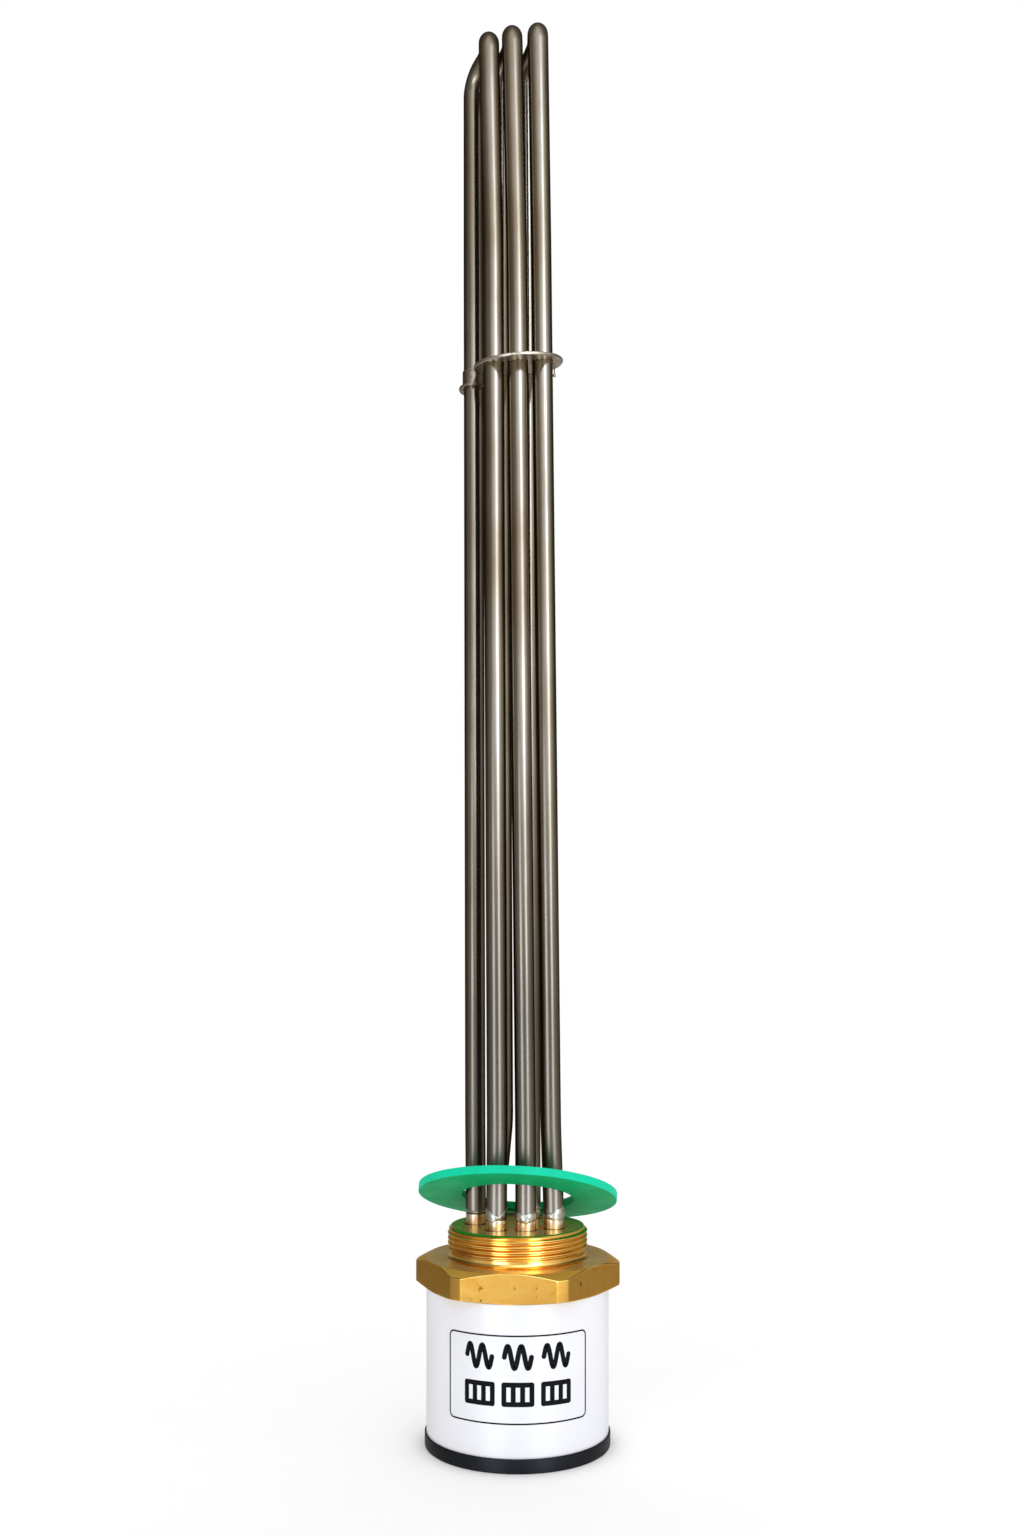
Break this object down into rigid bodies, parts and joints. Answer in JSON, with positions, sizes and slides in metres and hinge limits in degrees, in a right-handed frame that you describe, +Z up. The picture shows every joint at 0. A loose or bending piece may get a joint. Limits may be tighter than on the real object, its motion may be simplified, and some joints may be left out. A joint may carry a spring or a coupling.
{
  "type": "screw plug immersion heater",
  "caption": "Hexagonal brass screw plug with long hairpin heating tubes above it, a white terminal cover and black end cap below, a tilted green gasket and a small spacer disc.",
  "frame": {"origin": "centre of the end cap's base, where the heater stands on the floor", "axes": "+Z up along the axis of the plug and its thread, -Y towards the viewer of the picture, +X to that viewer's right"},
  "size_m": [0.096, 0.0898, 0.6667],
  "materials": {
    "black_plastic": "moulded, satin",
    "white_plastic": "moulded, satin",
    "white_vinyl": "printed film",
    "brass": "machined, slightly aged",
    "black_rubber": "moulded",
    "green_gasket": "cut sheet, satin",
    "stained_steel": "heat stained",
    "stainless_tube": "drawn, annealed, heat tinted",
    "oxide_packing": "packed powder",
    "resistance_wire": "drawn wire",
    "zinc_steel": "zinc plated",
    "plated_brass": "machined",
    "seal_ceramic": "fired",
    "copper_bronze": "drawn, dull",
    "silver_braze": "cast from the melt"
  },
  "bodies": {
    "end_cap": {"end_cap": "black_plastic"},
    "heater": {"terminal_cover": "white_plastic", "rating_label": "white_vinyl", "screw_plug": "brass", "cover_ring": "black_rubber", "gasket": "green_gasket", "spacer_disc": "stained_steel", "spacer_sleeve": "stained_steel", "star_link": "plated_brass", "line_clamps": "zinc_steel", "terminal_nuts": "plated_brass", "terminal_washers": "plated_brass", "earth_stud": "plated_brass", "earth_nuts": "plated_brass", "earth_washers": "plated_brass", "element_1_sheath": "stainless_tube", "element_1_packing": "oxide_packing", "element_1_coil": "resistance_wire", "element_2_sheath": "stainless_tube", "element_2_packing": "oxide_packing", "element_2_coil": "resistance_wire", "element_3_sheath": "stainless_tube", "element_3_packing": "oxide_packing", "element_3_coil": "resistance_wire", "terminal_pin_1": "zinc_steel", "end_seal_1": "seal_ceramic", "ferrule_1": "copper_bronze", "braze_collar_1": "silver_braze", "terminal_pin_2": "zinc_steel", "end_seal_2": "seal_ceramic", "ferrule_2": "copper_bronze", "braze_collar_2": "silver_braze", "terminal_pin_3": "zinc_steel", "end_seal_3": "seal_ceramic", "ferrule_3": "copper_bronze", "braze_collar_3": "silver_braze", "terminal_pin_4": "zinc_steel", "end_seal_4": "seal_ceramic", "ferrule_4": "copper_bronze", "braze_collar_4": "silver_braze", "terminal_pin_5": "zinc_steel", "end_seal_5": "seal_ceramic", "ferrule_5": "copper_bronze", "braze_collar_5": "silver_braze", "terminal_pin_6": "zinc_steel", "end_seal_6": "seal_ceramic", "ferrule_6": "copper_bronze", "braze_collar_6": "silver_braze"}
  },
  "joints": [
    {"name": "cap_pull", "type": "slide", "parent": "end_cap", "child": "heater", "axis": [0, 0, 1], "range_m": [0, 0.03]}
  ]
}
